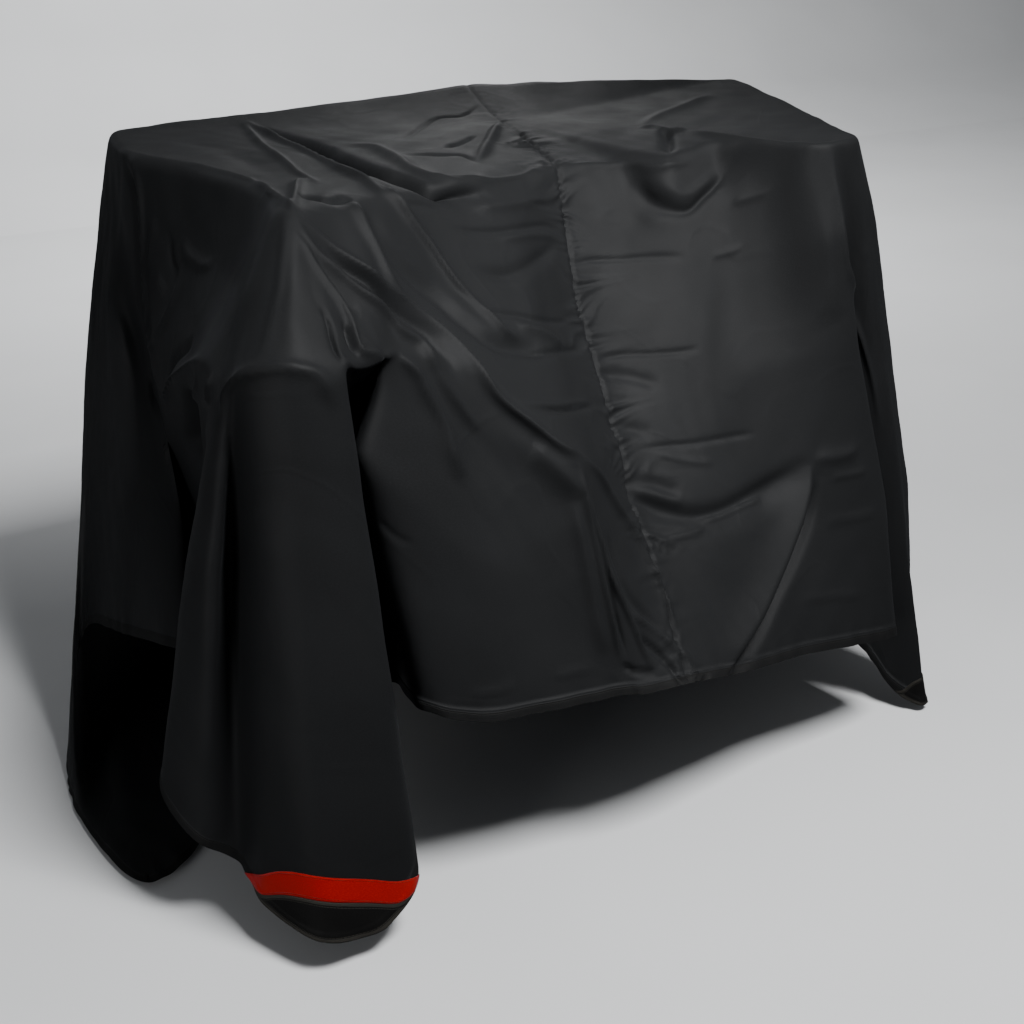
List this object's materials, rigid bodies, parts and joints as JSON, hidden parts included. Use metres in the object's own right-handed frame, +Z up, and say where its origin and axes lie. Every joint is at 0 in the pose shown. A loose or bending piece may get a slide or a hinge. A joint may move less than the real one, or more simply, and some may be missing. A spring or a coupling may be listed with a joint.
{
  "type": "drum cover",
  "caption": "Loose black dust cover for an electronic drum set, draped to the floor from a flat crown, sewn from wide panels with a red band across one rounded corner.",
  "frame": {"origin": "under the top of the cover, where it rests on the drum set; the floor is 1.22 m below", "axes": "X runs along the cover from the peaked corner to the lower right end, Y to its back, Z up"},
  "size_m": [2.2601, 1.5245, 1.2708],
  "materials": {
    "black_cloth": "smooth woven polyester with a soft sheen",
    "red_cloth": "smooth woven polyester with a soft sheen"
  },
  "bodies": {
    "root": {"panel_left": "black_cloth", "panel_right": "black_cloth", "corner_patch_left": "black_cloth", "corner_patch_right": "black_cloth", "red_band": "red_cloth"}
  },
  "joints": []
}
